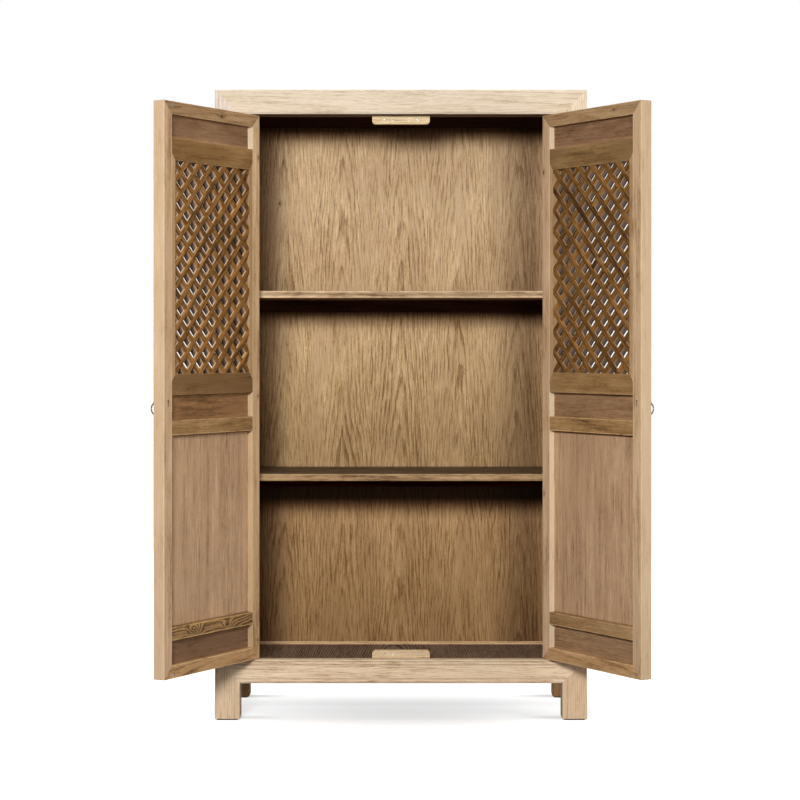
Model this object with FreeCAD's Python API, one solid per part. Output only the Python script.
import FreeCAD, Part
import math
import os

# A two-door cabinet of old bleached timber, in millimetres, +Z up.
# Depth runs from the front face of the case (0) to the rear face (case_depth).
# The doors are stored swung open.

# Overall case
case_width = 1080.0
case_depth = 457.0
case_height = 1830.0
post_size = 72.0
edge_radius = 3.0
leg_clear_height = 107.0
bottom_rail_height = 69.0

# Joints and fits
joint_clearance = 0.2
board_fit = 0.3
running_clearance = 0.05
cut_overrun = 5.0

# Case joinery
tenon_length = 24.0
tenon_thickness = 20.0
tenon_shoulder = 12.0
shoulder_reach = 36.0
shoulder_depth = 10.0

# Case boards
panel_thickness = 15.0
panel_groove_depth = 10.0
side_panel_recess = 14.0
back_panel_recess = 0.6
board_thickness = 18.0
board_tongue_depth = 8.0
board_tongue_thickness = 6.0
top_panel_recess = 2.0
floor_drop = 11.0
front_lip_width = 32.0

# Beads run around the door opening and under the bottom rail
bead_groove_width = 1.6
bead_groove_depth = 1.2
bead_fine_offset = 4.0
bead_width = 14.0
skirt_bead_width = 15.0

# Shelves
shelf_thickness = 22.0
shelf_front_setback = 60.0
shelf_edge_radius = 5.0
upper_shelf_top = 1248.0
lower_shelf_top = 712.0
bearer_height = 36.0
bearer_thickness = 20.0

# Catch blocks and magnets
catch_block_length = 168.0
catch_block_thickness = 20.0
upper_block_height = 24.0
lower_block_height = 33.0
block_corner_radius = 10.0
catch_gap = 0.5
magnet_radius = 3.8
magnet_depth = 6.0
strike_radius = 3.4
strike_depth = 4.0
magnet_near_offset = 23.5
magnet_far_offset = 49.5
disc_clearance = 0.05
upper_magnet_drop = 12.0
lower_magnet_drop = 10.0

# Feet
glide_thickness = 3.0
glide_size = 60.0

# Doors
door_thickness = 36.0
hinge_gap = 3.0
meeting_gap = 2.0
head_gap = 2.0
foot_gap = 2.0
left_open_angle = 120.0
right_open_angle = 121.3
door_edge_radius = 1.5
stile_width = 36.0
door_rail_height = 36.0
upper_panel_height = 65.0
lattice_top_rail_height = 60.0
lattice_height = 585.0
lattice_bottom_rail_height = 57.5
middle_panel_height = 69.5
mid_rail_height = 41.0
bottom_panel_height = 68.0
lower_rail_height = 35.0
door_panel_thickness = 12.0
door_panel_front_recess = 7.0
door_groove_depth = 8.0
door_tenon_length = 22.0
door_tenon_thickness = 10.0
door_tenon_shoulder = 9.0

# Lattice
strip_width = 16.0
strip_mitre_rise = 20.0
strip_front_recess = 6.0
cells_across = 6
cells_high = 10
slat_width = 16.5
slat_thickness = 8.0
slat_bevel = 3.0
bar_thickness = 28.8
lattice_inner_recess = 1.0

# Pivot pins, on which the doors hang and turn
pivot_edge_distance = 20.5
pivot_depth = 9.5
pivot_radius = 4.0
pivot_in_door = 34.0
pivot_in_case = 14.0
pivot_end_play = 1.0
collar_radius = 8.0
collar_gap = 0.3

# Ring pulls
pull_drop = 79.0
pull_edge_distance = 18.0
ring_radius = 15.0
ring_wire_radius = 2.0
ring_seat_gap = 0.3
eye_standoff = 9.0
eye_radius = 4.3
eye_wire_radius = 1.3
shank_radius = 1.5
shank_clearance = 0.1
clinch_length = 9.0
clinch_width = 3.0
clinch_thickness = 1.3
rosette_radius = 11.0
rosette_thickness = 1.5

# Places that follow from the sizes above
outer_x = case_width / 2
inner_x = outer_x - post_size
rear_y = case_depth - post_size
top_underside = case_height - post_size
bottom_rail_top = leg_clear_height + bottom_rail_height
bottom_rail_middle = leg_clear_height + bottom_rail_height / 2
floor_top = bottom_rail_top - floor_drop
side_panel_face = inner_x + side_panel_recess
back_panel_face = rear_y + back_panel_recess
block_face = door_thickness + catch_gap
upper_magnet_z = top_underside - upper_magnet_drop
lower_magnet_z = floor_top + lower_block_height - lower_magnet_drop

door_width = (2 * inner_x - 2 * hinge_gap - meeting_gap) / 2
door_hinge_x = hinge_gap - inner_x
door_free_x = door_hinge_x + door_width
door_bottom = bottom_rail_top + foot_gap
door_top = top_underside - head_gap
stile_inner_x = door_hinge_x + stile_width
free_inner_x = door_free_x - stile_width
upper_panel_top = door_top - door_rail_height
lattice_rail_top = upper_panel_top - upper_panel_height
lattice_top = lattice_rail_top - lattice_top_rail_height
lattice_bottom = lattice_top - lattice_height
middle_panel_top = lattice_bottom - lattice_bottom_rail_height
mid_rail_top = middle_panel_top - middle_panel_height
main_panel_top = mid_rail_top - mid_rail_height
bottom_panel_bottom = door_bottom + door_rail_height
bottom_panel_top = bottom_panel_bottom + bottom_panel_height
lower_rail_top = bottom_panel_top + lower_rail_height
lattice_left = stile_inner_x + strip_width
lattice_right = free_inner_x - strip_width
lattice_back = door_thickness - lattice_inner_recess
cell_width = (lattice_right - lattice_left) / cells_across
cell_height = (lattice_top - lattice_bottom) / cells_high

pivot_x = door_hinge_x + pivot_edge_distance
pull_x = door_free_x - pull_edge_distance
pull_height = lattice_bottom - pull_drop
ring_top_z = pull_height - eye_radius + eye_wire_radius + ring_wire_radius + ring_seat_gap


# The open doors stand in front of the case. The part's origin lies on the floor,
# midway between the foremost corner of the open doors and the rear face.
def door_reach(open_angle):
    radians = math.radians(open_angle)
    swing_arm = door_width - pivot_edge_distance
    corner_depth = door_thickness - pivot_depth
    return swing_arm * math.sin(radians) - corner_depth * math.cos(radians) - pivot_depth


front_y = (max(door_reach(left_open_angle), door_reach(right_open_angle)) - case_depth) / 2

x_axis = FreeCAD.Vector(1, 0, 0)
y_axis = FreeCAD.Vector(0, 1, 0)
z_axis = FreeCAD.Vector(0, 0, 1)
origin = FreeCAD.Vector(0, 0, 0)


# Basic forms
def block(x_low, x_high, y_low, y_high, z_low, z_high):
    corner = FreeCAD.Vector(x_low, y_low, z_low)
    return Part.makeBox(x_high - x_low, y_high - y_low, z_high - z_low, corner)


def edges_along(shape, axis):
    """The straight edges of a block that run along one axis."""
    tangents = [(edge, edge.tangentAt(edge.FirstParameter)) for edge in shape.Edges]
    return [edge for edge, tangent in tangents if abs(tangent.dot(axis)) > math.cos(math.pi / 4)]


def rounded_bar(bar, axis, radius):
    return bar.makeFillet(radius, edges_along(bar, axis))


def extruded(points, run):
    wire = Part.makePolygon(points + points[:1])
    return Part.Face(wire).extrude(run)


def prism_along_x(points, x_low, x_high):
    corners = [FreeCAD.Vector(x_low, y, z) for y, z in points]
    return extruded(corners, x_axis * (x_high - x_low))


def prism_along_y(points, y_low, y_high):
    corners = [FreeCAD.Vector(x, y_low, z) for x, z in points]
    return extruded(corners, y_axis * (y_high - y_low))


def prism_along_z(points, z_low, z_high):
    corners = [FreeCAD.Vector(x, y, z_low) for x, y in points]
    return extruded(corners, z_axis * (z_high - z_low))


def mirrored_sides(shape):
    return shape.mirror(origin, x_axis)


def mirrored_front_to_back(shape):
    return shape.mirror(FreeCAD.Vector(0, case_depth / 2, 0), y_axis)


def both_sides(shapes):
    return shapes + [mirrored_sides(shape) for shape in shapes]


def save(name, shape):
    placed = shape.copy()
    placed.translate(FreeCAD.Vector(0, front_y, 0))
    placed.exportStep("parts/" + name + ".step")


# Boards that sit in grooves: each is a board, or its groove when grown by a clearance
def side_panel_board(grow=0):
    return block(
        -side_panel_face - panel_thickness - grow,
        -side_panel_face + grow,
        post_size - panel_groove_depth - grow,
        rear_y + panel_groove_depth + grow,
        bottom_rail_top - panel_groove_depth - grow,
        top_underside + panel_groove_depth + grow,
    )


def back_panel_board(grow=0):
    return block(
        -inner_x - panel_groove_depth - grow,
        inner_x + panel_groove_depth + grow,
        back_panel_face - grow,
        back_panel_face + panel_thickness + grow,
        bottom_rail_top - panel_groove_depth - grow,
        top_underside + panel_groove_depth + grow,
    )


def tongue_board(z_low, z_high, grow=0):
    sides = block(
        -inner_x - board_tongue_depth - grow,
        inner_x + board_tongue_depth + grow,
        post_size + board_fit,
        rear_y - board_fit,
        z_low - grow,
        z_high + grow,
    )
    ends = block(
        -inner_x + board_fit,
        inner_x - board_fit,
        post_size - board_tongue_depth - grow,
        rear_y + board_tongue_depth + grow,
        z_low - grow,
        z_high + grow,
    )
    return sides.fuse(ends).removeSplitter()


ceiling_tongue_low = top_underside + board_thickness - board_tongue_thickness
ceiling_tongue_high = top_underside + board_thickness
top_panel_top = case_height - top_panel_recess
top_panel_low = top_panel_top - board_thickness


def inner_field_board(z_low, z_high):
    return block(
        -inner_x + board_fit,
        inner_x - board_fit,
        post_size + board_fit,
        rear_y - board_fit,
        z_low,
        z_high,
    )


def ceiling_panel():
    field = inner_field_board(top_underside, ceiling_tongue_high)
    return field.fuse(tongue_board(ceiling_tongue_low, ceiling_tongue_high)).removeSplitter()


def top_panel():
    field = inner_field_board(top_panel_low, top_panel_top)
    tongue = tongue_board(top_panel_low, top_panel_low + board_tongue_thickness)
    return field.fuse(tongue).removeSplitter()


def top_frame_grooves():
    return [
        tongue_board(ceiling_tongue_low, ceiling_tongue_high, joint_clearance),
        tongue_board(top_panel_low, top_panel_low + board_tongue_thickness, joint_clearance),
    ]


def floor_long_board(grow=0):
    return block(
        -inner_x + board_fit,
        inner_x - board_fit,
        front_lip_width + board_fit,
        rear_y + board_tongue_depth + grow,
        floor_top - board_thickness - grow,
        floor_top + grow,
    )


def floor_wide_board(grow=0):
    return block(
        -inner_x - board_tongue_depth - grow,
        inner_x + board_tongue_depth + grow,
        post_size + board_fit,
        rear_y - board_fit,
        floor_top - board_thickness - grow,
        floor_top + grow,
    )


def floor_panel():
    return floor_long_board().fuse(floor_wide_board()).removeSplitter()


# Three-way mitres at the top corners. Each wedge is what a member loses to its neighbour.
mitre_top = case_height + cut_overrun
mitre_outer_x = -outer_x - cut_overrun
mitre_front = -cut_overrun


def wedge_over_post_from_front_rail():
    corners = [(mitre_outer_x, mitre_top), (-inner_x, mitre_top), (-inner_x, top_underside)]
    return prism_along_y(corners, mitre_front, post_size + cut_overrun)


def wedge_over_post_from_side_rail():
    corners = [(mitre_front, mitre_top), (post_size, mitre_top), (post_size, top_underside)]
    return prism_along_x(corners, mitre_outer_x, -inner_x + cut_overrun)


def wedge_under_front_rail():
    corners = [(mitre_outer_x, mitre_top), (mitre_outer_x, top_underside), (-inner_x, top_underside)]
    return prism_along_y(corners, mitre_front, post_size + cut_overrun)


def wedge_behind_front_rail():
    corners = [(mitre_outer_x, mitre_front), (mitre_outer_x, post_size), (-inner_x, post_size)]
    return prism_along_z(corners, top_underside - cut_overrun, mitre_top)


def wedge_under_side_rail():
    corners = [(mitre_front, mitre_top), (mitre_front, top_underside), (post_size, top_underside)]
    return prism_along_x(corners, mitre_outer_x, -inner_x + cut_overrun)


def wedge_before_side_rail():
    corners = [(mitre_outer_x, mitre_front), (-inner_x, mitre_front), (-inner_x, post_size)]
    return prism_along_z(corners, top_underside - cut_overrun, mitre_top)


# Bottom rail joints: a tenon, and a pointed shoulder let into the outer face of the post
def front_rail_tenon(grow=0):
    middle = post_size / 2
    return block(
        -inner_x - tenon_length - grow,
        -inner_x + grow,
        middle - tenon_thickness / 2 - grow,
        middle + tenon_thickness / 2 + grow,
        leg_clear_height + tenon_shoulder - grow,
        bottom_rail_top - tenon_shoulder + grow,
    )


def side_rail_tenon(grow=0):
    middle = -outer_x + post_size / 2
    return block(
        middle - tenon_thickness / 2 - grow,
        middle + tenon_thickness / 2 + grow,
        post_size - tenon_length - grow,
        post_size + grow,
        leg_clear_height + tenon_shoulder - grow,
        bottom_rail_top - tenon_shoulder + grow,
    )


def front_rail_point():
    corners = [
        (-inner_x, leg_clear_height + edge_radius),
        (-inner_x - shoulder_reach, bottom_rail_middle),
        (-inner_x, bottom_rail_top - edge_radius),
    ]
    return prism_along_y(corners, 0, shoulder_depth)


def side_rail_point():
    corners = [
        (post_size, leg_clear_height + edge_radius),
        (post_size - shoulder_reach, bottom_rail_middle),
        (post_size, bottom_rail_top - edge_radius),
    ]
    return prism_along_x(corners, -outer_x, -outer_x + shoulder_depth)


# Bead grooves on the front face
def groove_along_x(z_middle, x_low, x_high):
    half = bead_groove_width / 2
    return block(x_low, x_high, -cut_overrun, bead_groove_depth, z_middle - half, z_middle + half)


def groove_along_z(x_middle, z_low, z_high):
    half = bead_groove_width / 2
    return block(x_middle - half, x_middle + half, -cut_overrun, bead_groove_depth, z_low, z_high)


def bead_frame(offset):
    half = bead_groove_width / 2
    z_low = bottom_rail_top - offset
    z_high = top_underside + offset
    x_side = inner_x + offset
    level = [groove_along_x(z, -x_side - half, x_side + half) for z in (z_low, z_high)]
    upright = [groove_along_z(x, z_low - half, z_high + half) for x in (-x_side, x_side)]
    return level + upright


def skirt_bead():
    half = bead_groove_width / 2
    z_line = leg_clear_height + skirt_bead_width
    x_side = inner_x + skirt_bead_width
    level = [groove_along_x(z_line, -x_side - half, x_side + half)]
    upright = [groove_along_z(x, glide_thickness - cut_overrun, z_line + half) for x in (-x_side, x_side)]
    return level + upright


def front_beads():
    return bead_frame(bead_fine_offset) + bead_frame(bead_width) + skirt_bead()


# Posts
def plain_post(y_front):
    bar = block(-outer_x, -inner_x, y_front, y_front + post_size, glide_thickness, case_height)
    foot = [edge for edge in bar.Edges if edge.BoundBox.ZMax < glide_thickness + edge_radius]
    return bar.makeFillet(edge_radius, edges_along(bar, z_axis) + foot)


def front_left_post():
    cuts = [wedge_over_post_from_front_rail(), wedge_over_post_from_side_rail()]
    cuts += [side_panel_board(joint_clearance), front_rail_point(), side_rail_point()]
    cuts += [front_rail_tenon(joint_clearance), side_rail_tenon(joint_clearance)]
    return plain_post(0).cut(cuts + front_beads())


def rear_left_post():
    to_back = mirrored_front_to_back
    cuts = [to_back(wedge_over_post_from_front_rail()), to_back(wedge_over_post_from_side_rail())]
    cuts += [side_panel_board(joint_clearance), back_panel_board(joint_clearance)]
    cuts += [to_back(front_rail_point()), to_back(side_rail_point())]
    cuts += [to_back(front_rail_tenon(joint_clearance)), to_back(side_rail_tenon(joint_clearance))]
    return plain_post(rear_y).cut(cuts)


# Top frame
def top_end_rail_bar():
    bar = block(-outer_x, outer_x, 0, post_size, top_underside, case_height)
    bar = rounded_bar(bar, x_axis, edge_radius)
    return bar.cut(both_sides([wedge_under_front_rail(), wedge_behind_front_rail()]))


def top_front_rail():
    cuts = top_frame_grooves() + front_beads()
    return top_end_rail_bar().cut(cuts + both_sides([pivot_hole_in_case()]))


def top_rear_rail():
    bar = mirrored_front_to_back(top_end_rail_bar())
    return bar.cut(top_frame_grooves() + [back_panel_board(joint_clearance)])


def top_left_rail():
    bar = block(-outer_x, -inner_x, 0, case_depth, top_underside, case_height)
    bar = rounded_bar(bar, y_axis, edge_radius)
    wedges = [wedge_under_side_rail(), wedge_before_side_rail()]
    cuts = wedges + [mirrored_front_to_back(wedge) for wedge in wedges] + top_frame_grooves()
    return bar.cut(cuts + [side_panel_board(joint_clearance), back_panel_board(joint_clearance)])


# Bottom frame
def bottom_end_rail_bar():
    bar = block(-inner_x, inner_x, 0, post_size, leg_clear_height, bottom_rail_top)
    bar = rounded_bar(bar, x_axis, edge_radius)
    return bar.fuse(both_sides([front_rail_tenon(), front_rail_point()])).removeSplitter()


def bottom_front_rail():
    rebate = block(
        -inner_x - cut_overrun,
        inner_x + cut_overrun,
        front_lip_width,
        post_size + cut_overrun,
        floor_top - board_thickness,
        bottom_rail_top + cut_overrun,
    )
    cuts = [rebate] + front_beads()
    return bottom_end_rail_bar().cut(cuts + both_sides([pivot_hole_in_case_below()]))


def bottom_rear_rail():
    bar = mirrored_front_to_back(bottom_end_rail_bar())
    return bar.cut([floor_long_board(joint_clearance), back_panel_board(joint_clearance)])


def bottom_left_rail():
    bar = block(-outer_x, -inner_x, post_size, rear_y, leg_clear_height, bottom_rail_top)
    bar = rounded_bar(bar, y_axis, edge_radius)
    ends = [side_rail_tenon(), side_rail_point()]
    bar = bar.fuse(ends + [mirrored_front_to_back(end) for end in ends]).removeSplitter()
    return bar.cut([floor_wide_board(joint_clearance), side_panel_board(joint_clearance)])


# Shelves
def shelf(z_top):
    z_low = z_top - shelf_thickness
    board = block(
        -side_panel_face + board_fit,
        side_panel_face - board_fit,
        post_size + board_fit,
        rear_y - board_fit,
        z_low,
        z_top,
    )
    nose = block(-inner_x + board_fit, inner_x - board_fit, shelf_front_setback, rear_y - board_fit, z_low, z_top)
    front_edges = [edge for edge in edges_along(nose, x_axis) if edge.BoundBox.YMax < post_size]
    nose = nose.makeFillet(shelf_edge_radius, front_edges)
    return nose.fuse(board).removeSplitter()


def shelf_bearers(z_top):
    z_high = z_top - shelf_thickness
    z_low = z_high - bearer_height
    side = block(
        -side_panel_face,
        -side_panel_face + bearer_thickness,
        post_size + board_fit,
        rear_y - board_fit,
        z_low,
        z_high,
    )
    back_end = side_panel_face - bearer_thickness - board_fit
    back = block(-back_end, back_end, back_panel_face - bearer_thickness, back_panel_face, z_low, z_high)
    return Part.makeCompound(both_sides([side]) + [back])


# Catch blocks
def catch_block(z_low, z_high, rounded_z):
    half = catch_block_length / 2
    bar = block(-half, half, block_face, block_face + catch_block_thickness, z_low, z_high)
    corners = [edge for edge in edges_along(bar, y_axis) if abs(edge.BoundBox.ZMax - rounded_z) < edge_radius]
    return bar.makeFillet(block_corner_radius, corners)


def magnet(x, z, grow=0):
    start = FreeCAD.Vector(x, block_face - grow, z)
    return Part.makeCylinder(magnet_radius + grow, magnet_depth + grow, start, y_axis)


def magnets_at(z, grow=0):
    offsets = [magnet_near_offset, magnet_far_offset]
    return both_sides([magnet(x, z, grow) for x in offsets])


def upper_catch_block():
    bar = catch_block(top_underside - upper_block_height, top_underside, top_underside - upper_block_height)
    return bar.cut(magnets_at(upper_magnet_z, disc_clearance))


def lower_catch_block():
    bar = catch_block(floor_top, floor_top + lower_block_height, floor_top + lower_block_height)
    return bar.cut(magnets_at(lower_magnet_z, disc_clearance))


def catch_magnets():
    return Part.makeCompound(magnets_at(upper_magnet_z) + magnets_at(lower_magnet_z))


# Feet
def foot_glides():
    x_middle = -outer_x + post_size / 2
    half = glide_size / 2
    front = block(x_middle - half, x_middle + half, post_size / 2 - half, post_size / 2 + half, 0, glide_thickness)
    return Part.makeCompound(both_sides([front, mirrored_front_to_back(front)]))


# Door, drawn closed and hinged on the left
def door_blank():
    blank = block(door_hinge_x, door_free_x, 0, door_thickness, door_bottom, door_top)
    return blank.makeFillet(door_edge_radius, blank.Edges)


def member(points):
    return prism_along_y(points, 0, door_thickness).common(door_blank())


def panel_board(z_low, z_high, grow=0):
    return block(
        stile_inner_x - door_groove_depth - grow,
        free_inner_x + door_groove_depth + grow,
        door_panel_front_recess - grow,
        door_panel_front_recess + door_panel_thickness + grow,
        z_low - door_groove_depth - grow,
        z_high + door_groove_depth + grow,
    )


def panel_fields():
    return [
        (lattice_rail_top, upper_panel_top),
        (mid_rail_top, middle_panel_top),
        (lower_rail_top, main_panel_top),
        (bottom_panel_bottom, bottom_panel_top),
    ]


def panel_grooves():
    return [panel_board(low, high, joint_clearance) for low, high in panel_fields()]


def cross_rail_spans():
    lattice_side = strip_mitre_rise + door_tenon_shoulder / 2
    return [
        (lattice_top, lattice_rail_top, lattice_side, door_tenon_shoulder),
        (middle_panel_top, lattice_bottom, door_tenon_shoulder, lattice_side),
        (main_panel_top, mid_rail_top, door_tenon_shoulder, door_tenon_shoulder),
        (bottom_panel_top, lower_rail_top, door_tenon_shoulder, door_tenon_shoulder),
    ]


def cross_tenon(span, grow=0):
    z_low, z_high, low_shoulder, high_shoulder = span
    middle = door_thickness / 2
    return block(
        stile_inner_x - door_tenon_length - grow,
        free_inner_x + door_tenon_length + grow,
        middle - door_tenon_thickness / 2 - grow,
        middle + door_tenon_thickness / 2 + grow,
        z_low + low_shoulder - grow,
        z_high - high_shoulder + grow,
    )


def cross_mortises():
    return [cross_tenon(span, joint_clearance) for span in cross_rail_spans()]


def cross_rail(index):
    span = cross_rail_spans()[index]
    bar = block(stile_inner_x, free_inner_x, 0, door_thickness, span[0], span[1])
    bar = bar.fuse(cross_tenon(span)).removeSplitter()
    return bar.cut(panel_grooves() + lattice_strips())


def door_hinge_stile():
    corners = [
        (door_hinge_x, door_bottom),
        (stile_inner_x, door_bottom + door_rail_height),
        (stile_inner_x, door_top - door_rail_height),
        (door_hinge_x, door_top),
    ]
    return member(corners).cut(panel_grooves() + cross_mortises() + pivot_holes_in_door())


def door_free_stile():
    corners = [
        (door_free_x, door_bottom),
        (free_inner_x, door_bottom + door_rail_height),
        (free_inner_x, door_top - door_rail_height),
        (door_free_x, door_top),
    ]
    return member(corners).cut(panel_grooves() + cross_mortises() + [shank_hole()])


def door_end_rail(z_outer, z_inner, z_discs):
    corners = [
        (door_hinge_x, z_outer),
        (stile_inner_x, z_inner),
        (free_inner_x, z_inner),
        (door_free_x, z_outer),
    ]
    cuts = panel_grooves() + pivot_holes_in_door() + strikes_at(z_discs, disc_clearance)
    return member(corners).cut(cuts)


def door_top_rail():
    return door_end_rail(door_top, door_top - door_rail_height, upper_magnet_z)


def door_bottom_rail():
    return door_end_rail(door_bottom, door_bottom + door_rail_height, lower_magnet_z)


def lattice_strips():
    left = [
        (stile_inner_x, lattice_bottom - strip_mitre_rise),
        (lattice_left, lattice_bottom),
        (lattice_left, lattice_top),
        (stile_inner_x, lattice_top + strip_mitre_rise),
    ]
    right = [(stile_inner_x + free_inner_x - x, z) for x, z in left]
    return [prism_along_y(side, strip_front_recess, door_thickness) for side in (left, right)]


def bevelled_edge(y_edge, y_inward):
    """One face of a slat in section, with its two bevels, from one side to the other."""
    half = slat_width / 2
    y_side = y_edge + math.copysign(slat_bevel, y_inward - y_edge)
    return [(-half, y_side), (slat_bevel - half, y_edge), (half - slat_bevel, y_edge), (half, y_side)]


def lattice_layer(rise_side, profile):
    """Parallel slats of one section that climb towards rise_side, cut off at the frame."""
    run = FreeCAD.Vector(rise_side * cell_width, 0, cell_height)
    across = FreeCAD.Vector(-rise_side * cell_height, 0, cell_width)
    across.normalize()
    field = block(lattice_left, lattice_right, 0, door_thickness, lattice_bottom, lattice_top)
    foot_x = lattice_left if rise_side > 0 else lattice_right
    slats = []
    for step in range(1 - cells_across, cells_high):
        start = FreeCAD.Vector(foot_x, 0, lattice_bottom + step * cell_height)
        corners = [start + across * side + y_axis * y for side, y in profile]
        back = run * -1
        slat = extruded([corner + back for corner in corners], run * (cells_high + 2))
        slats.append(slat.common(field).Solids[0])
    return Part.makeCompound(slats)


def lattice_inner_slats():
    """Thin slats let into the deep slats, flush with them on the door's inner face."""
    half = slat_width / 2
    y_flat = lattice_back - slat_thickness
    return lattice_layer(-1, bevelled_edge(lattice_back, y_flat) + [(half, y_flat), (-half, y_flat)])


def lattice_notches():
    half = slat_width / 2 + joint_clearance
    y_floor = lattice_back - slat_thickness
    y_clear = lattice_back + cut_overrun
    return lattice_layer(-1, [(-half, y_floor), (half, y_floor), (half, y_clear), (-half, y_clear)])


def lattice_outer_slats():
    """Deep slats, notched where the thin slats cross them."""
    y_front = lattice_back - bar_thickness
    profile = bevelled_edge(lattice_back, y_front) + bevelled_edge(y_front, lattice_back)[::-1]
    return lattice_layer(1, profile).cut(lattice_notches())


def door_main_panel():
    return panel_board(lower_rail_top, main_panel_top)


def door_small_panels():
    low_ends = [field for field in panel_fields() if field[0] != lower_rail_top]
    return Part.makeCompound([panel_board(low, high) for low, high in low_ends])


# Pivot pins
def upright_pin(radius, z_low, z_high):
    return Part.makeCylinder(radius, z_high - z_low, FreeCAD.Vector(pivot_x, pivot_depth, z_low), z_axis)


def pivot_hole_in_case():
    return upright_pin(
        pivot_radius + running_clearance,
        top_underside - cut_overrun,
        top_underside + pivot_in_case + pivot_end_play,
    )


def pivot_hole_in_case_below():
    return upright_pin(
        pivot_radius + running_clearance,
        bottom_rail_top - pivot_in_case - pivot_end_play,
        bottom_rail_top + cut_overrun,
    )


def pivot_holes_in_door():
    radius = pivot_radius + disc_clearance
    return [
        upright_pin(radius, door_top - pivot_in_door, door_top + cut_overrun),
        upright_pin(radius, door_bottom - cut_overrun, door_bottom + pivot_in_door),
    ]


def door_pivot_pins():
    upper = upright_pin(pivot_radius, door_top - pivot_in_door, top_underside + pivot_in_case)
    lower = upright_pin(pivot_radius, bottom_rail_top - pivot_in_case, door_bottom + pivot_in_door)
    collar = upright_pin(collar_radius, bottom_rail_top + collar_gap, door_bottom)
    return Part.makeCompound([upper, lower.fuse(collar).removeSplitter()])


# Strike discs on the inner face, which meet the magnets
def strike(x, z, grow=0):
    start = FreeCAD.Vector(x, door_thickness - strike_depth, z)
    return Part.makeCylinder(strike_radius + grow, strike_depth + grow, start, y_axis)


def strikes_at(z, grow=0):
    return [strike(-offset, z, grow) for offset in (magnet_near_offset, magnet_far_offset)]


def door_strike_discs():
    return Part.makeCompound(strikes_at(upper_magnet_z) + strikes_at(lower_magnet_z))


# Ring pull
def shank_hole():
    start = FreeCAD.Vector(pull_x, -cut_overrun, pull_height)
    return Part.makeCylinder(shank_radius + shank_clearance, door_thickness + 2 * cut_overrun, start, y_axis)


def door_pull_staple():
    eye_centre = FreeCAD.Vector(pull_x, -eye_standoff, pull_height)
    eye = Part.makeTorus(eye_radius, eye_wire_radius, eye_centre, x_axis)
    shank_start = eye_radius - eye_standoff
    shank_length = door_thickness + clinch_thickness - shank_start
    start = FreeCAD.Vector(pull_x, shank_start, pull_height)
    shank = Part.makeCylinder(shank_radius, shank_length, start, y_axis)
    clinch = block(
        pull_x - clinch_width / 2,
        pull_x + clinch_width / 2,
        door_thickness,
        door_thickness + clinch_thickness,
        pull_height - clinch_length,
        pull_height + clinch_length,
    )
    pin = eye.fuse([shank, clinch])
    rosette_start = FreeCAD.Vector(pull_x, -rosette_thickness, pull_height)
    rosette = Part.makeCylinder(rosette_radius, rosette_thickness, rosette_start, y_axis).cut(shank_hole())
    return Part.makeCompound([pin, rosette])


def pull_ring():
    centre = FreeCAD.Vector(pull_x, -eye_standoff, ring_top_z - ring_radius)
    return Part.makeTorus(ring_radius, ring_wire_radius, centre, y_axis)


# Writing the pieces
def swung_open(shape, open_angle):
    turned = shape.copy()
    turned.rotate(FreeCAD.Vector(pivot_x, pivot_depth, 0), z_axis, -open_angle)
    return turned


def save_pair(left_name, right_name, left_shape):
    save(left_name, left_shape)
    save(right_name, mirrored_sides(left_shape))


def save_case():
    save_pair("front_left_post", "front_right_post", front_left_post())
    save_pair("rear_left_post", "rear_right_post", rear_left_post())
    save_pair("top_left_rail", "top_right_rail", top_left_rail())
    save_pair("bottom_left_rail", "bottom_right_rail", bottom_left_rail())
    save_pair("left_side_panel", "right_side_panel", side_panel_board())
    single_pieces = {
        "top_front_rail": top_front_rail(),
        "top_rear_rail": top_rear_rail(),
        "bottom_front_rail": bottom_front_rail(),
        "bottom_rear_rail": bottom_rear_rail(),
        "top_panel": top_panel(),
        "ceiling_panel": ceiling_panel(),
        "floor_panel": floor_panel(),
        "back_panel": back_panel_board(),
        "upper_shelf": shelf(upper_shelf_top),
        "lower_shelf": shelf(lower_shelf_top),
        "upper_shelf_bearers": shelf_bearers(upper_shelf_top),
        "lower_shelf_bearers": shelf_bearers(lower_shelf_top),
        "upper_catch_block": upper_catch_block(),
        "lower_catch_block": lower_catch_block(),
        "catch_magnets": catch_magnets(),
        "foot_glides": foot_glides(),
    }
    for name, shape in single_pieces.items():
        save(name, shape)


def save_doors():
    door_pieces = {
        "door_hinge_stile": door_hinge_stile(),
        "door_free_stile": door_free_stile(),
        "door_top_rail": door_top_rail(),
        "door_bottom_rail": door_bottom_rail(),
        "door_lattice_top_rail": cross_rail(0),
        "door_lattice_bottom_rail": cross_rail(1),
        "door_mid_rail": cross_rail(2),
        "door_lower_rail": cross_rail(3),
        "door_lattice_side_strips": Part.makeCompound(lattice_strips()),
        "door_lattice_inner_slats": lattice_inner_slats(),
        "door_lattice_outer_slats": lattice_outer_slats(),
        "door_main_panel": door_main_panel(),
        "door_small_panels": door_small_panels(),
        "door_pivot_pins": door_pivot_pins(),
        "door_strike_discs": door_strike_discs(),
        "door_pull_staple": door_pull_staple(),
        "pull_ring": pull_ring(),
    }
    for name, shape in door_pieces.items():
        save("left_" + name, swung_open(shape, left_open_angle))
        save("right_" + name, mirrored_sides(swung_open(shape, right_open_angle)))


os.makedirs("parts", exist_ok=True)
save_case()
save_doors()
